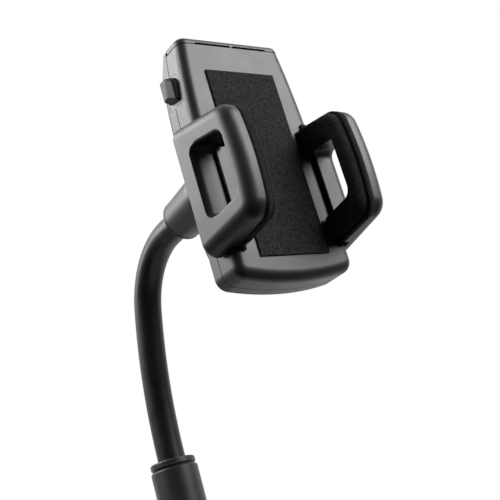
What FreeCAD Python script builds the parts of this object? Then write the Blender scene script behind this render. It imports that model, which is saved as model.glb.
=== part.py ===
import FreeCAD, Part
import math
import os

V = FreeCAD.Vector

# A car phone holder: a cradle with two geared jaws, a ball joint, a bent neck and a stem.
# Row frame: origin on the stem's axis at its lower end, +Z up the stem, the cradle faces -Y.
# Cradle frame: x across, y from the front face towards the back, z up from the pad's centre.

# Cradle body
BODY_W = 63.8
BODY_TOP_W = 57.0
BODY_TOP = 58.6
BODY_BOTTOM = -56.2
TAPER_START = 8.6
BOTTOM_BOW = 3.7
CORNER_R = 5.8
EDGE_R = 4.5
WALL = 2.0
SEAM_Y = 12.0
SEAM_GROOVE = 0.3
BACK_WALL_Y = 17.5
BACK_Y = 23.0
BACK_INSET = 3.2
RIM_Y = 18.5
PLATEAU_LOW = -38.0
PLATEAU_RUN = 5.0
SLOPE_START = 38.0
SLOPE_TOP_Y = 14.5
BACK_RISE = 2.0
CAP_H = 3.9
CAP_EDGE_R = 2.8
CAP_SLOT_W = 39.6
CAP_SLOT_H = 1.0
CAP_SLOT_DEPTH = 6.0
CAP_NUB_W = 1.6
PRY_NOTCH = 1.5

# Felt pad on the front face
PAD_W = 38.0
PAD_H = 90.4
PAD_T = 0.8

# Jaws, one shape used twice, turned about the pinion's axis
JAW_Z = -11.6
JAW_OVERLAP = 4.9
JAW_SIDE_GAP = 0.9
JAW_STAND = 7.9
JAW_LEAN_INSET = 3.5
JAW_BACK_Y = 10.0
JAW_FRONT_Y = -27.3
JAW_BOW = 2.3
JAW_ROOT_H = 60.8
JAW_FRONT_H = 50.4
JAW_LEAN = 5.6
JAW_CORNER_R = 8.5
JAW_EDGE_R = 6.2
JAW_BACK_R = 2.0
JAW_LIP_R = 0.8
JAW_LIP_Y = -0.4
WINDOW_BACK_Y = -0.5
WINDOW_FRONT_Y = -19.6
WINDOW_MARGIN = 11.7
WINDOW_R = 4.0
WINDOW_EDGE_R = 1.2
SILL_RISE = 1.3
FOAM_T = 5.4
FOAM_INSET = 0.7
FOAM_EDGE_R = 3.5
FOAM_RIM_R = 1.0
FOAM_BACK_Y = -0.6

# Rack arms and pinion
ARM_Y0 = 5.5
ARM_T = 3.0
ARM_W = 10.75
ARM_TIP_X = 26.0
GEAR_MODULE = 1.0
GEAR_TEETH = 16
PRESSURE_ANGLE = math.radians(20.0)
BACKLASH = 0.3
ADDENDUM = 0.9 * GEAR_MODULE
DEDENDUM = 1.25 * GEAR_MODULE
RACK_START = -5.0
RATCHET_PITCH = 3.0
RATCHET_DEPTH = 1.2
RATCHET_TEETH = 8
RATCHET_START = -22.5
SLIDE_GAP = 0.3
AXLE_R = 2.0
RUN_GAP = 0.05
HUB_R = 3.5
HUB_LEN = 2.5
BOSS_WALL = 2.0
SPIRAL_T = 0.5
SPIRAL_PITCH = 1.3
SPIRAL_HALF_TURNS = 6
SPIRAL_W = 2.0

# Release button and pawl
BUTTON_Y0 = 5.4
BUTTON_Y1 = 16.0
BUTTON_Z0 = 32.0
BUTTON_Z1 = 47.0
BUTTON_OUT = 4.7
BUTTON_RIDGE_Y = 8.9
BUTTON_GAP = 0.25
BUTTON_FLANGE = 0.8
BUTTON_FLANGE_GAP = 0.6
BUTTON_FLANGE_T = 1.5
BUTTON_FRONT_DROP = 1.6
BUTTON_BACK_DROP = 1.1
BUTTON_TOP_DROP = 1.4
BUTTON_LOW_DROP = 4.0
BUTTON_DRAFT = 0.4
BUTTON_CORNER_R = 1.4
BUTTON_BROW_R = 4.2
BUTTON_EDGE_R = 0.7
PUSHER_END_X = -19.1
PUSHER_Z0 = 32.4
PUSHER_Z1 = 35.4
PUSHER_W = 2.0
BUTTON_SPRING_T = 0.3
BUTTON_SPRING_W = 4.0
BUTTON_SPRING_WAVES = 4
BUTTON_SPRING_Y = 10.0
BUTTON_SPRING_Z = 41.5
STOP_X = -16.5
STOP_T = 1.5
STOP_H = 6.0
PAWL_X = -17.0
PAWL_Z = 21.4
PAWL_PIN_R = 1.5
PAWL_HUB_R = 3.0
PAWL_ARM_W = 3.0
PAWL_ARM_TOP = 35.4
PAWL_TIP_X = -21.0
PAWL_TIP_GAP = 0.25
PAWL_HEAD_T = 1.0
LEAF_T = 0.4
LEAF_POST_X = -9.6
LEAF_POST_W = 3.0
LEAF_Z0 = 24.0
LEAF_Z1 = 28.0
LEAF_TIP_Z = 32.5

# Screws
SCREW_INSET = 8.9
SCREW_HIGH_Z = 52.5
SCREW_LOW_Z = -46.0
SCREW_R = 1.25
SCREW_GAP = 0.1
SCREW_HEAD_R = 2.5
SCREW_HEAD_T = 1.4
SCREW_SEAT_Y = 15.8
SCREW_LEN = 10.0
SCREW_BOSS_R = 3.0
STUD_SCREW_CIRCLE_R = 9.5
STUD_SCREWS = 4
STUD_SCREW_LEN = 6.0
STUD_SCREW_SINK = 1.3
STUD_SCREW_HEAD_R = 2.3

# Ball joint
BALL_Y = 39.4
BALL_Z = 7.4
BALL_R = 8.0
BALL_GAP = 0.3
SEAT_T = 1.7
STUD_NECK_R = 3.2
STUD_FLARE_R = 6.0
STUD_FLARE_LEN = 2.0
FLANGE_R = 13.0
FLANGE_T = 2.5
FLANGE_SUNK = 1.5
STUD_BOSS_R = 16.2
STUD_BOSS_DEPTH = 5.0
SEAT_FRONT = (math.radians(35.0), math.radians(65.0))
SEAT_REAR = (math.radians(108.0), math.radians(160.0))
SOCKET_WALL = 1.9
MOUTH_S = 6.8
SOCKET_SPLIT_S = -2.0
DOME_FULL_S = -10.0
DOME_RIM_R = 10.75
DOME_LEN = 32.5
RIM_RING_T = 2.0
RIM_GROOVE = 0.4
DISC_SPRING_R = 6.0
DISC_SPRING_BORE = 3.2
DISC_SPRING_T = 0.8
DISC_SPRING_RISE = 2.2
DISC_POCKET_S = -13.0

# Neck and stem
STEM_R = 12.2
STEM_LEN = 50.3
STEM_EDGE = 0.8
RING_R = 11.7
RING_T = 3.3
RING_EDGE = 0.6
RING_SPIGOT_R = 10.5
RING_SPIGOT_T = 0.7
NECK_R = 7.2
NECK_CORE_R = 4.8
NECK_GAP = 0.1
NECK_LOW_BEND_R = 229.0
NECK_LOW_TURN = math.radians(19.9)
NECK_TOP_BEND_R = 42.1
NECK_TOP_TURN = math.radians(68.0)
NECK_STRAIGHT = 13.3
NECK_IN_SOCKET = 8.0
CORE_IN_SOCKET = 14.0
CORE_IN_STEM = 20.0

# Places that follow from the sizes
JAW_INNER_X = BODY_W / 2 - JAW_OVERLAP
JAW_SIDE_X = BODY_W / 2 + JAW_SIDE_GAP
JAW_OUTER_X = BODY_W / 2 + JAW_STAND
JAW_LEAN_X = BODY_W / 2 - JAW_LEAN_INSET
SCREW_X = BODY_W / 2 - SCREW_INSET
SHELL_SCREWS = [(x, z) for z in (SCREW_HIGH_Z, SCREW_LOW_Z) for x in (-SCREW_X, SCREW_X)]
GEAR_R = GEAR_MODULE * GEAR_TEETH / 2
ARM_Y1 = ARM_Y0 + ARM_T
RACK_PITCH_Z = JAW_Z + GEAR_R
RACK_ROOT_Z = RACK_PITCH_Z + DEDENDUM
ARM_TOP_Z = RACK_ROOT_Z + ARM_W
BOW_R = ((BODY_W / 2) ** 2 + BOTTOM_BOW ** 2) / (2 * BOTTOM_BOW)
BOW_Z = BODY_BOTTOM + BOW_R
CORNER_X = BODY_W / 2 - CORNER_R
CORNER_Z = BOW_Z - math.sqrt((BOW_R - CORNER_R) ** 2 - CORNER_X ** 2)
TAPER_DROP = (BODY_W - BODY_TOP_W) / 2
TAPER_R = (TAPER_DROP ** 2 + (BODY_TOP - TAPER_START) ** 2) / (2 * TAPER_DROP)
SEAT_R = BALL_R + BALL_GAP
SOCKET_R = SEAT_R + SEAT_T + BALL_GAP
DOME_R = SOCKET_R + SOCKET_WALL
RIM_S = -DOME_LEN - RIM_RING_T
FLANGE_S = BALL_Y - BACK_Y + FLANGE_SUNK - FLANGE_T
NECK_START_Z = STEM_LEN + RING_SPIGOT_T + RING_T
NECK_END_TURN = NECK_LOW_TURN + NECK_TOP_TURN


def line(a, b):
    """Straight edge."""
    return Part.LineSegment(a, b).toShape()


def arc(a, middle, b):
    """Round edge through three points."""
    return Part.Arc(a, middle, b).toShape()


def polygon(points):
    """Flat face with straight sides."""
    return Part.Face(Part.makePolygon(points + points[:1]))


def rounded_wire(points, radii):
    """Closed outline through the points, with each corner rounded to its own radius."""
    ends = []
    count = len(points)
    for i, (corner, radius) in enumerate(zip(points, radii)):
        back = (points[i - 1] - corner).normalize()
        ahead = (points[(i + 1) % count] - corner).normalize()
        half = back.getAngle(ahead) / 2
        inward = (back + ahead).normalize()
        run = radius / math.tan(half)
        middle = corner + inward * (radius / math.sin(half) - radius)
        ends.append((corner + back * run, middle, corner + ahead * run))
    edges = []
    for i, (start, middle, stop) in enumerate(ends):
        edges.append(arc(start, middle, stop))
        edges.append(line(stop, ends[(i + 1) % count][0]))
    return Part.Wire(edges)


def box(x0, x1, y0, y1, z0, z1):
    """Block between two corners."""
    return Part.makeBox(x1 - x0, y1 - y0, z1 - z0, V(x0, y0, z0))


def post(x, z, radius, y0, y1):
    """Round post along the cradle's depth."""
    return Part.makeCylinder(radius, y1 - y0, V(x, y0, z), V(0, 1, 0))


def turned(profile):
    """Solid turned about the Z axis from (radius, height) points."""
    face = polygon([V(r, 0, h) for r, h in profile])
    return face.revolve(V(0, 0, 0), V(0, 0, 1), 360)


def half_width(z, inset=0.0):
    """Distance from the middle of the body to its side wall at a height."""
    if z <= TAPER_START:
        return BODY_W / 2 - inset
    return BODY_W / 2 - TAPER_R + math.sqrt((TAPER_R - inset) ** 2 - (z - TAPER_START) ** 2)


def body_outline(inset, y, top):
    """Outline of the cradle body seen from the front: bowed foot, round corners, tapered sides."""
    corner_dir = V(CORNER_X, 0, CORNER_Z - BOW_Z).normalize()
    corner_turn = math.atan2(corner_dir.z, corner_dir.x)
    radius = CORNER_R - inset
    foot = V(0, y, BOW_Z) + corner_dir * (BOW_R - inset)
    corner_mid = V(CORNER_X + radius * math.cos(corner_turn / 2), y,
                   CORNER_Z + radius * math.sin(corner_turn / 2))
    side_low = V(CORNER_X + radius, y, CORNER_Z)
    side_high = V(side_low.x, y, TAPER_START)
    taper_mid_z = (TAPER_START + top) / 2
    taper_mid = V(half_width(taper_mid_z, inset), y, taper_mid_z)
    shoulder = V(half_width(top, inset), y, top)

    def mirrored(p):
        return V(-p.x, p.y, p.z)

    return Part.Wire([
        arc(mirrored(foot), V(0, y, BOW_Z - BOW_R + inset), foot),
        arc(foot, corner_mid, side_low),
        line(side_low, side_high),
        arc(side_high, taper_mid, shoulder),
        line(shoulder, mirrored(shoulder)),
        arc(mirrored(shoulder), mirrored(taper_mid), mirrored(side_high)),
        line(mirrored(side_high), mirrored(side_low)),
        arc(mirrored(side_low), mirrored(corner_mid), mirrored(foot)),
    ])


def body_prism(inset, y0, y1, top):
    """The body's outline carried straight through a depth."""
    return Part.Face(body_outline(inset, y0, top)).extrude(V(0, y1 - y0, 0))


def seam_groove():
    """Thin groove round the body where the two shells meet."""
    y0 = SEAM_Y - SEAM_GROOVE / 2
    y1 = SEAM_Y + SEAM_GROOVE / 2
    outside = body_prism(-SEAM_GROOVE, y0, y1, BODY_TOP + SEAM_GROOVE)
    return outside.cut(body_prism(SEAM_GROOVE, y0, y1, BODY_TOP - SEAM_GROOVE))


def arm_slots():
    """Openings in the side walls for the two rack arms, the right one turned from the left."""
    left = box(-BODY_W, -BODY_W / 2 + 2 * WALL, ARM_Y0 - SLIDE_GAP, ARM_Y1 + SLIDE_GAP,
               RACK_ROOT_Z - SLIDE_GAP, ARM_TOP_Z + SLIDE_GAP)
    return left.fuse(half_turn(left))


def half_turn(shape):
    """The same shape turned half round the pinion's axis."""
    copy = shape.copy()
    copy.rotate(V(0, 0, JAW_Z), V(0, 1, 0), 180)
    return copy


def button_side(grow, x0, x1):
    """Side outline of the button, its top front corner well rounded, through a thickness."""
    y0 = BUTTON_Y0 - grow
    y1 = BUTTON_Y1 + grow
    z0 = BUTTON_Z0 - grow
    z1 = BUTTON_Z1 + grow
    corners = [V(x0, y0, z0), V(x0, y1, z0), V(x0, y1, z1), V(x0, y0, z1)]
    radii = [BUTTON_CORNER_R + grow] * 3 + [BUTTON_BROW_R + grow]
    return Part.Face(rounded_wire(corners, radii)).extrude(V(x1 - x0, 0, 0))


def button_flange_x():
    """Outer face of the button's flange, clear of the tapering wall at the button's top."""
    return BUTTON_FLANGE_GAP + WALL - half_width(BUTTON_Z1 + BUTTON_FLANGE)


def button_opening():
    """Opening in the left wall for the release button."""
    return button_side(BUTTON_GAP, -BODY_W, button_flange_x())


def make_front_shell():
    """Front moulding: rounded front edges, bosses, guide ribs, and openings in the side walls."""
    blank = body_prism(0, 0, SEAM_Y, BODY_TOP)
    rounded = [e for e in blank.Edges
               if e.BoundBox.YMax < WALL and e.BoundBox.ZMin < BODY_TOP - WALL]
    shell = blank.makeFillet(EDGE_R, rounded)
    shell = shell.cut(body_prism(WALL, WALL, SEAM_Y, BODY_TOP - WALL))
    for x, z in SHELL_SCREWS:
        shell = shell.fuse(post(x, z, SCREW_BOSS_R, WALL, SEAM_Y))
        hole_y = SCREW_SEAT_Y - SCREW_LEN - SCREW_GAP
        shell = shell.cut(post(x, z, SCREW_R + SCREW_GAP / 2, hole_y, SEAM_Y))
    boss_y = ARM_Y0 - SLIDE_GAP
    for x, z, radius in ((0, JAW_Z, AXLE_R), (PAWL_X, PAWL_Z, PAWL_PIN_R)):
        shell = shell.fuse(post(x, z, radius + BOSS_WALL, WALL, boss_y))
        shell = shell.cut(post(x, z, radius + RUN_GAP, WALL, boss_y))
    rib_x = BODY_W / 4
    for x in (-rib_x, rib_x):
        rib = box(x - WALL / 2, x + WALL / 2, WALL, boss_y,
                  2 * JAW_Z - ARM_TOP_Z, ARM_TOP_Z)
        shell = shell.fuse(rib)
    stop = box(STOP_X, STOP_X + STOP_T, WALL, SEAM_Y,
               BUTTON_SPRING_Z - STOP_H / 2, BUTTON_SPRING_Z + STOP_H / 2)
    leaf_post = box(LEAF_POST_X, LEAF_POST_X + LEAF_POST_W, WALL, ARM_Y1, LEAF_Z0, LEAF_Z1)
    shell = shell.fuse([stop, leaf_post])
    return shell.cut([arm_slots(), button_opening(), seam_groove()]).removeSplitter()


def back_profile(wall):
    """Side view of the back: low rim at the foot, raised middle, slope to the top."""
    y0 = SEAM_Y - WALL
    points = [V(-BODY_W, y0, BODY_BOTTOM - WALL), V(-BODY_W, RIM_Y - wall, BODY_BOTTOM - WALL),
              V(-BODY_W, RIM_Y - wall, PLATEAU_LOW + wall),
              V(-BODY_W, BACK_Y - wall, PLATEAU_LOW + PLATEAU_RUN + wall),
              V(-BODY_W, BACK_Y - wall, SLOPE_START), V(-BODY_W, SLOPE_TOP_Y - wall, BODY_TOP),
              V(-BODY_W, SLOPE_TOP_Y - wall, BODY_TOP + BACK_RISE + WALL),
              V(-BODY_W, y0, BODY_TOP + BACK_RISE + WALL)]
    return polygon(points).extrude(V(2 * BODY_W, 0, 0))


def back_blank(wall):
    """Solid of the back shell, set in by a wall for its hollow."""
    top = BODY_TOP + BACK_RISE - wall
    straight = body_prism(wall, SEAM_Y, BACK_WALL_Y, top)
    leaning = Part.makeLoft([body_outline(wall, BACK_WALL_Y, top),
                             body_outline(wall + BACK_INSET, BACK_Y, top - BACK_INSET)], True, True)
    return straight.fuse(leaning).common(back_profile(wall))


def make_back_shell():
    """Rear moulding: leaning sides, raised middle with the stud's pocket, screw bosses."""
    shell = back_blank(0).cut(back_blank(WALL))
    stud_boss = post(0, BALL_Z, STUD_BOSS_R, BACK_Y - FLANGE_SUNK - STUD_BOSS_DEPTH, BACK_Y - WALL / 2)
    axle_y = ARM_Y1 + HUB_LEN + SLIDE_GAP
    axle_boss = post(0, JAW_Z, AXLE_R + BOSS_WALL, axle_y, BACK_Y - WALL / 2)
    anchor_x = spiral_end_x()
    anchor = box(anchor_x, anchor_x + WALL, ARM_Y1 + SLIDE_GAP, BACK_Y - WALL / 2,
                 JAW_Z - WALL, JAW_Z)
    shell = shell.fuse([stud_boss, axle_boss, anchor])
    for x, z in SHELL_SCREWS:
        full = post(x, z, SCREW_HEAD_R + WALL / 2, SEAM_Y, BACK_Y).common(back_blank(0))
        shell = shell.fuse(full)
    for x, z in SHELL_SCREWS:
        shell = shell.cut(post(x, z, SCREW_R + SCREW_GAP, SEAM_Y, BACK_Y))
        shell = shell.cut(post(x, z, SCREW_HEAD_R + SCREW_GAP, SCREW_SEAT_Y, BACK_Y))
    pocket = post(0, BALL_Z, FLANGE_R + SCREW_GAP, BACK_Y - FLANGE_SUNK, BACK_Y + WALL)
    axle_bore = post(0, JAW_Z, AXLE_R + RUN_GAP, axle_y, SEAM_Y)
    shell = shell.cut([pocket, axle_bore, button_opening(), seam_groove()])
    for x, z in stud_screw_places():
        shell = shell.cut(post(x, z, SCREW_R + SCREW_GAP / 2,
                               BACK_Y - FLANGE_SUNK - STUD_SCREW_LEN + FLANGE_T - SCREW_GAP, BACK_Y))
    return shell.removeSplitter()


def cap_block(inset, z0, z1):
    """Plan of the top cap, as wide as the body there, with its front corners rounded."""
    half = half_width(BODY_TOP) - inset
    corners = [V(-half, SEAM_Y - inset, z0), V(-half, inset, z0), V(half, inset, z0),
               V(half, SEAM_Y - inset, z0)]
    block = polygon(corners).extrude(V(0, 0, z1 - z0))
    front = [e for e in block.Edges
             if e.BoundBox.ZLength > (z1 - z0) / 2 and e.BoundBox.YMax < EDGE_R]
    return block.makeFillet(EDGE_R - inset, front)


def make_top_cap():
    """Closing strip on top: rounded over, with a long slot over the front face."""
    top = BODY_TOP + CAP_H
    cap = cap_block(0, BODY_TOP, top)
    cap = cap.makeFillet(CAP_EDGE_R, [e for e in cap.Edges if e.BoundBox.ZMin > top - SEAM_GROOVE])
    under = box(-BODY_W, BODY_W, -WALL, SEAM_Y + WALL, BODY_TOP, BODY_TOP + SEAM_GROOVE)
    cap = cap.cut(under.cut(cap_block(SEAM_GROOVE, BODY_TOP, BODY_TOP + SEAM_GROOVE)))
    slot = box(-CAP_SLOT_W / 2, CAP_SLOT_W / 2, -WALL, CAP_SLOT_DEPTH,
               BODY_TOP, BODY_TOP + CAP_SLOT_H)
    nub = box(-CAP_NUB_W / 2, CAP_NUB_W / 2, -WALL, CAP_SLOT_DEPTH,
              BODY_TOP, BODY_TOP + CAP_SLOT_H)
    cap = cap.cut(slot.cut(nub))
    side = half_width(BODY_TOP)
    for x in (-side, side):
        cap = cap.cut(box(x - PRY_NOTCH / 2, x + PRY_NOTCH / 2, SEAM_Y - PRY_NOTCH, SEAM_Y,
                          BODY_TOP, BODY_TOP + PRY_NOTCH))
    return cap.removeSplitter()


def make_front_pad():
    """Felt panel stuck to the front face."""
    return box(-PAD_W / 2, PAD_W / 2, -PAD_T, 0, -PAD_H / 2, PAD_H / 2)


def jaw_half_height(y):
    """Half height of a jaw, which narrows towards its front."""
    front_y = JAW_FRONT_Y + JAW_BOW
    share = (JAW_BACK_Y - y) / (JAW_BACK_Y - front_y)
    return (JAW_ROOT_H + (JAW_FRONT_H - JAW_ROOT_H) * share) / 2


def jaw_block(inset, x0, x1, back_y):
    """Side outline of a jaw, with a bowed front and round front corners, through a thickness."""
    front_y = JAW_FRONT_Y + JAW_BOW + inset
    high_back = V(x0, back_y, JAW_Z + jaw_half_height(back_y) - inset)
    high_front = V(x0, front_y, JAW_Z + jaw_half_height(front_y) - inset)
    low_front = V(x0, front_y, 2 * JAW_Z - high_front.z)
    low_back = V(x0, back_y, 2 * JAW_Z - high_back.z)
    wire = Part.Wire([line(low_back, high_back), line(high_back, high_front),
                      arc(high_front, V(x0, JAW_FRONT_Y + inset, JAW_Z), low_front),
                      line(low_front, low_back)])
    block = Part.Face(wire).extrude(V(x1 - x0, 0, 0))
    corners = [e for e in block.Edges
               if e.BoundBox.XLength > (x1 - x0) / 2 and e.BoundBox.YMax < front_y + JAW_BOW]
    return block.makeFillet(JAW_CORNER_R - inset, corners)


def lean_in(shape):
    """Leans the left jaw's outside inwards, about a line beside the body's front."""
    copy = shape.copy()
    copy.rotate(V(-JAW_LEAN_X, 0, 0), V(0, 0, 1), JAW_LEAN)
    return copy


def window_wire(x, back_y):
    """Rounded outline of a jaw's window at one side."""
    corners = []
    for y, side in ((back_y, 1), (WINDOW_FRONT_Y, 1), (WINDOW_FRONT_Y, -1), (back_y, -1)):
        corners.append(V(x, y, JAW_Z + side * (jaw_half_height(y) - WINDOW_MARGIN)))
    return rounded_wire(corners, [WINDOW_R] * len(corners))


def jaw_window():
    """Through window of the left jaw, whose sill rises towards the inside."""
    reach = JAW_OUTER_X - JAW_INNER_X
    lean = SILL_RISE / reach
    outer_x = -JAW_OUTER_X - WALL
    inner_x = -JAW_INNER_X + FOAM_T + WALL
    outer_y = WINDOW_BACK_Y + lean * WALL
    inner_y = WINDOW_BACK_Y - lean * (inner_x + JAW_OUTER_X)
    return Part.makeLoft([window_wire(outer_x, outer_y), window_wire(inner_x, inner_y)], True, True)


def rack_arm():
    """Flat arm of the left jaw: rack below for the pinion, ratchet notches above for the pawl."""
    pitch = math.pi * GEAR_MODULE
    slant = math.tan(PRESSURE_ANGLE)
    tip = RACK_PITCH_Z - ADDENDUM
    root_half = pitch / 4 - BACKLASH / 2 + slant * DEDENDUM
    tip_half = pitch / 4 - BACKLASH / 2 - slant * ADDENDUM
    root_x = -JAW_OUTER_X + JAW_EDGE_R
    points = [(root_x, RACK_ROOT_Z)]
    centre = (math.ceil(RACK_START / pitch) + 0.5) * pitch
    while centre + root_half < ARM_TIP_X:
        points += [(centre - root_half, RACK_ROOT_Z), (centre - tip_half, tip),
                   (centre + tip_half, tip), (centre + root_half, RACK_ROOT_Z)]
        centre += pitch
    points += [(ARM_TIP_X, RACK_ROOT_Z), (ARM_TIP_X, ARM_TOP_Z)]
    for i in reversed(range(RATCHET_TEETH)):
        low_x = RATCHET_START + i * RATCHET_PITCH
        points += [(low_x + RATCHET_PITCH, ARM_TOP_Z), (low_x + RATCHET_PITCH, ARM_TOP_Z - RATCHET_DEPTH)]
    points += [(RATCHET_START, ARM_TOP_Z), (root_x, ARM_TOP_Z)]
    return polygon([V(x, ARM_Y0, z) for x, z in points]).extrude(V(0, ARM_T, 0))


def make_left_jaw():
    """Left jaw: leaning outside, upright inside, a window, a step for the body, and its rack arm."""
    block = jaw_block(0, -JAW_OUTER_X, -JAW_INNER_X + WALL, JAW_BACK_Y)
    on_outside = [e for e in block.Edges if e.BoundBox.XMax < -JAW_OUTER_X + JAW_LIP_R]
    front_chain = [e for e in on_outside if e.BoundBox.YMin < JAW_BACK_Y - JAW_LIP_R]
    jaw = block.makeFillet(JAW_EDGE_R, front_chain)
    back_edges = [e for e in jaw.Edges
                  if e.BoundBox.YMin > JAW_BACK_Y - JAW_LIP_R and e.BoundBox.XMin < -JAW_INNER_X - JAW_LIP_R]
    jaw = jaw.makeFillet(JAW_BACK_R, back_edges).cut(jaw_window())
    rim_half = JAW_FRONT_H / 2 - JAW_EDGE_R
    rim = [e for e in jaw.Edges
           if e.BoundBox.XMax < -JAW_OUTER_X + JAW_LIP_R and e.BoundBox.YMax < WINDOW_BACK_Y + JAW_LIP_R
           and e.BoundBox.ZMax < JAW_Z + rim_half and e.BoundBox.ZMin > JAW_Z - rim_half]
    jaw = lean_in(jaw.makeFillet(WINDOW_EDGE_R, rim))
    low_z = JAW_Z - JAW_ROOT_H
    high_z = JAW_Z + JAW_ROOT_H
    inside = box(-JAW_INNER_X, 0, JAW_FRONT_Y - WALL, JAW_BACK_Y + WALL, low_z, high_z)
    beside = box(-JAW_SIDE_X, 0, JAW_LIP_Y, JAW_BACK_Y + WALL, low_z, high_z)
    return jaw.cut([inside, beside]).fuse(rack_arm()).removeSplitter()


def make_left_jaw_pad():
    """Thick foam facing on the inside of the left jaw, round the window and open at the root."""
    face_x = -JAW_INNER_X + FOAM_T
    pad = jaw_block(FOAM_INSET, -JAW_INNER_X, face_x, FOAM_BACK_Y)
    outer = [e for e in pad.Edges
             if e.BoundBox.XMin > face_x - FOAM_RIM_R and e.BoundBox.YMin < FOAM_BACK_Y - FOAM_RIM_R]
    pad = pad.makeFillet(FOAM_EDGE_R, outer)
    opening = Part.Face(window_wire(-JAW_INNER_X, FOAM_BACK_Y + 2 * WINDOW_R)).extrude(V(FOAM_T, 0, 0))
    pad = pad.cut(opening)
    reach = JAW_FRONT_H / 2 - FOAM_EDGE_R
    rim = [e for e in pad.Edges
           if e.BoundBox.XMin > face_x - FOAM_RIM_R and e.BoundBox.YMin > JAW_FRONT_Y + FOAM_EDGE_R
           and e.BoundBox.YMin < FOAM_BACK_Y - FOAM_RIM_R
           and e.BoundBox.ZMax < JAW_Z + reach and e.BoundBox.ZMin > JAW_Z - reach]
    return pad.makeFillet(FOAM_RIM_R, rim)


def gear_point(radius, angle):
    """Point of the pinion, measured from the top of the wheel."""
    return V(radius * math.sin(angle), ARM_Y0, JAW_Z + radius * math.cos(angle))


def make_pinion():
    """Pinion with involute flanks that drives both racks, and its spring hub."""
    base = GEAR_R * math.cos(PRESSURE_ANGLE)
    root = GEAR_R - DEDENDUM
    tip = GEAR_R + ADDENDUM

    def roll(radius):
        turn = math.acos(base / radius)
        return math.tan(turn) - turn

    def flank(radius):
        return math.pi / (2 * GEAR_TEETH) + roll(GEAR_R) - roll(radius)

    middle = (base + tip) / 2
    step = 2 * math.pi / GEAR_TEETH
    edges = []
    for i in range(GEAR_TEETH):
        at = i * step
        rise = [gear_point(r, at - flank(r)) for r in (base, middle, tip)]
        fall = [gear_point(r, at + flank(r)) for r in (tip, middle, base)]
        foot = gear_point(root, at - flank(base))
        heel = gear_point(root, at + flank(base))
        next_foot = gear_point(root, at + step - flank(base))
        edges += [line(foot, rise[0]), arc(*rise), arc(rise[2], gear_point(tip, at), fall[0]),
                  arc(*fall), line(fall[2], heel), arc(heel, gear_point(root, at + step / 2), next_foot)]
    wheel = Part.Face(Part.Wire(edges)).extrude(V(0, ARM_T, 0))
    wheel = wheel.fuse(post(0, JAW_Z, HUB_R, ARM_Y1, ARM_Y1 + HUB_LEN))
    return wheel.cut(post(0, JAW_Z, AXLE_R + RUN_GAP, 0, SEAM_Y)).removeSplitter()


def make_pinion_axle():
    """Steel pin that the pinion turns on, held in both shells."""
    return post(0, JAW_Z, AXLE_R, WALL, SEAM_Y)


def spiral_end_x():
    """Where the spiral spring's outer end meets its anchor."""
    return HUB_R + RUN_GAP + SPIRAL_T + SPIRAL_HALF_TURNS * SPIRAL_PITCH / 2


def make_opening_spring():
    """Flat spiral spring of half rounds that grow by half a pitch, from the hub to its anchor."""
    first = HUB_R + SPIRAL_T / 2 + RUN_GAP
    y = ARM_Y1 + SLIDE_GAP
    sides = {-1: [], 1: []}
    for i in range(SPIRAL_HALF_TURNS):
        radius = first + i * SPIRAL_PITCH / 2
        centre_x = 0 if i % 2 == 0 else SPIRAL_PITCH / 2
        way = 1 if i % 2 == 0 else -1
        for side, edges in sides.items():
            r = radius + side * SPIRAL_T / 2
            edges.append(arc(V(centre_x + way * r, y, JAW_Z), V(centre_x, y, JAW_Z + way * r),
                             V(centre_x - way * r, y, JAW_Z)))
    return strip(sides[1], sides[-1], SPIRAL_W)


def strip(one_side, other_side, width):
    """Spring strip between two chains of edges that start and stop side by side."""
    start = line(other_side[0].firstVertex().Point, one_side[0].firstVertex().Point)
    stop = line(one_side[-1].lastVertex().Point, other_side[-1].lastVertex().Point)
    wire = Part.Wire([start] + one_side + [stop] + other_side[::-1])
    return Part.Face(wire).extrude(V(0, width, 0))


def make_release_button():
    """Push button on the left wall: ridged cap, guided block, inner flange and pusher."""
    wall_x = -half_width((BUTTON_Z0 + BUTTON_Z1) / 2)
    out_x = wall_x - BUTTON_OUT
    plan = [(wall_x, BUTTON_Y0), (out_x + BUTTON_FRONT_DROP, BUTTON_Y0 + BUTTON_DRAFT),
            (out_x, BUTTON_RIDGE_Y), (out_x + BUTTON_BACK_DROP, BUTTON_Y1 - BUTTON_DRAFT),
            (wall_x, BUTTON_Y1)]
    cap = polygon([V(x, y, BUTTON_Z0) for x, y in plan]).extrude(V(0, 0, BUTTON_Z1 - BUTTON_Z0))
    slopes = polygon([V(wall_x, BUTTON_Y0, BUTTON_Z0), V(out_x, BUTTON_Y0, BUTTON_Z0 + BUTTON_LOW_DROP),
                      V(out_x, BUTTON_Y0, BUTTON_Z1 - BUTTON_TOP_DROP), V(wall_x, BUTTON_Y0, BUTTON_Z1)])
    cap = cap.common(slopes.extrude(V(0, BUTTON_Y1 - BUTTON_Y0, 0)))
    cap = cap.common(button_side(0, out_x - WALL, wall_x)).removeSplitter()
    outer = [e for e in cap.Edges if e.BoundBox.XMax < wall_x - BUTTON_EDGE_R]
    ridge = [e for e in outer
             if e.BoundBox.XMax < out_x + BUTTON_DRAFT and e.BoundBox.XLength < BUTTON_DRAFT / 2]
    cap = cap.makeFillet(BUTTON_EDGE_R, [e for e in outer if e not in ridge])
    flange_x = button_flange_x()
    stem = button_side(0, wall_x, flange_x)
    inner_x = flange_x + BUTTON_FLANGE_T
    flange = box(flange_x, inner_x, BUTTON_Y0 - BUTTON_FLANGE, BUTTON_Y1 + BUTTON_FLANGE,
                 BUTTON_Z0 - BUTTON_FLANGE, BUTTON_Z1 + BUTTON_FLANGE)
    pusher_y = BUTTON_Y0 - BUTTON_FLANGE
    pusher = box(inner_x, PUSHER_END_X, pusher_y, pusher_y + PUSHER_W, PUSHER_Z0, PUSHER_Z1)
    return cap.fuse([stem, flange, pusher]).removeSplitter()


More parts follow.
